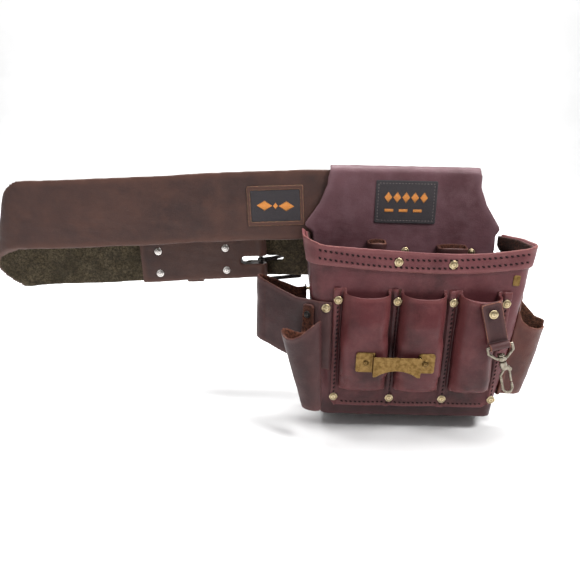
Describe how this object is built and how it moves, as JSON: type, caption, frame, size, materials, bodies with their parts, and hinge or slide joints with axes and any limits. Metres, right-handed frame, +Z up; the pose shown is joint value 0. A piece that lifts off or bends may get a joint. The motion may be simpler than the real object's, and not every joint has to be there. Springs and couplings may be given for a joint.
{
  "type": "electrician tool pouch",
  "caption": "Leather electrician tool pouch with moulded tool pockets, side holsters and a snap hook, hung by its folded flap on a buckled leather work belt.",
  "frame": {"origin": "centre of the belt's waist opening", "axes": "+Z up as worn, +X along the front of the belt towards the pouch, -Y the way the tool pockets face"},
  "size_m": [0.6087, 0.1739, 0.279],
  "materials": {
    "belt_leather": "oiled, satin",
    "burgundy_leather": "oiled, semi-gloss",
    "dark_leather": "oiled, satin",
    "label_weave": "woven",
    "brass": "aged, satin",
    "antique_brass": "antique",
    "nickel": "polished",
    "dark_steel": "darkened",
    "hook_metal": "worn plate"
  },
  "bodies": {
    "belt": {"belt_strap": "belt_leather", "turn_back_rivets": "nickel", "belt_label_frame": "dark_leather", "belt_label_patch": "label_weave"},
    "keeper": {"belt_keeper": "belt_leather"},
    "buckle": {"buckle_frame": "dark_steel"},
    "roller": {"buckle_roller": "dark_steel"},
    "tongue_upper": {"buckle_tongue_upper": "dark_steel"},
    "tongue_lower": {"buckle_tongue_lower": "dark_steel"},
    "pouch": {"back_panel": "burgundy_leather", "pocket_body": "burgundy_leather", "rim_band": "burgundy_leather", "rim_rivets": "brass", "flap_label": "label_weave", "flap_rivets": "brass", "inner_tool_loop_left": "dark_leather", "inner_tool_loop_right": "dark_leather", "tool_pocket_panel": "burgundy_leather", "pocket_rivets_upper": "brass", "pocket_rivets_lower": "brass", "tape_clip": "antique_brass", "tape_clip_rivets": "brass", "brass_badge": "antique_brass", "left_side_loop": "burgundy_leather", "side_loop_rivets": "brass", "left_holster": "dark_leather", "left_holster_rivet": "dark_steel", "right_holster": "burgundy_leather", "right_holster_rivets": "brass", "hook_tab_rivet": "brass"},
    "tab": {"hook_tab": "dark_leather"},
    "strap_loop": {"snap_loop": "hook_metal"},
    "hook": {"snap_hook": "hook_metal"},
    "gate": {"snap_gate": "hook_metal"}
  },
  "joints": [
    {"name": "pouch_slide", "type": "slide", "parent": "belt", "child": "pouch", "axis": [1, 0, 0], "range_m": [-0.2, 0]},
    {"name": "keeper_slide", "type": "slide", "parent": "belt", "child": "keeper", "axis": [0.9981, 0, 0.0611], "range_m": [-0.018, 0.02]},
    {"name": "buckle_swing", "type": "hinge", "parent": "belt", "child": "buckle", "pos_m": [0.02, 0.02315, -0.02506], "axis": [-0.0611, 0, 0.9981], "range_deg": [0, 12]},
    {"name": "roller_spin", "type": "hinge", "parent": "buckle", "child": "roller", "pos_m": [0.06591, 0.03405, -0.02225], "axis": [-0.0611, 0, 0.9981], "continuous": true},
    {"name": "tongue_upper_swing", "type": "hinge", "parent": "buckle", "child": "tongue_upper", "pos_m": [0.01902, 0.02315, -0.00909], "axis": [-0.0611, 0, 0.9981], "range_deg": [0, 22]},
    {"name": "tongue_lower_swing", "type": "hinge", "parent": "buckle", "child": "tongue_lower", "pos_m": [0.02098, 0.02315, -0.04103], "axis": [-0.0611, 0, 0.9981], "range_deg": [0, 22]},
    {"name": "tab_pivot", "type": "hinge", "parent": "pouch", "child": "tab", "pos_m": [0.255, -0.1232, -0.059], "axis": [0, -1, 0], "range_deg": [-25, 25]},
    {"name": "strap_loop_swing", "type": "hinge", "parent": "tab", "child": "strap_loop", "pos_m": [0.2641, -0.1276, -0.09072], "axis": [0.9613, 0, 0.2756], "range_deg": [-80, 0]},
    {"name": "hook_swivel", "type": "hinge", "parent": "strap_loop", "child": "hook", "pos_m": [0.26768, -0.1276, -0.10322], "axis": [-0.2756, 0, 0.9613], "continuous": true},
    {"name": "gate_spring", "type": "hinge", "parent": "hook", "child": "gate", "pos_m": [0.27612, -0.1276, -0.1138], "axis": [0, 1, 0], "range_deg": [0, 25], "stiffness_Nm_per_rad": 0.02, "springref_deg": -5.73}
  ]
}
